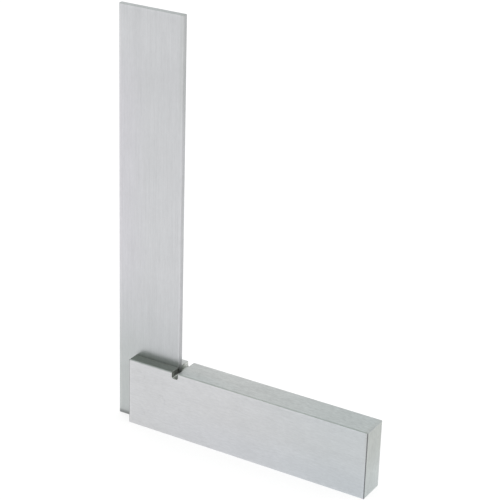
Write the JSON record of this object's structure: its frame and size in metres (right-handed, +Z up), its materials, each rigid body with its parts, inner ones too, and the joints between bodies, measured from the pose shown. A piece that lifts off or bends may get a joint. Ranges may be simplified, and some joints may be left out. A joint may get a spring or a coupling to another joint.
{
  "type": "fixed steel square",
  "caption": "Fixed steel square: a thin ground blade stands at a right angle in the slotted end of a thick stock, with a relief notch in the inner corner and flush rivets.",
  "frame": {"origin": "on the base plane, under the middle of the square's outline", "axes": "+X along the stock towards its free end, +Y through the stock's thickness, +Z up along the blade"},
  "size_m": [0.1, 0.0104, 0.15],
  "materials": {
    "blade_steel": "ground lengthwise, satin",
    "stock_steel": "ground lengthwise, satin",
    "rivet_steel": "ground flush with the stock"
  },
  "bodies": {
    "root": {"blade": "blade_steel", "stock": "stock_steel", "rivet_upper": "rivet_steel", "rivet_lower": "rivet_steel", "rivet_inner": "rivet_steel"}
  },
  "joints": []
}
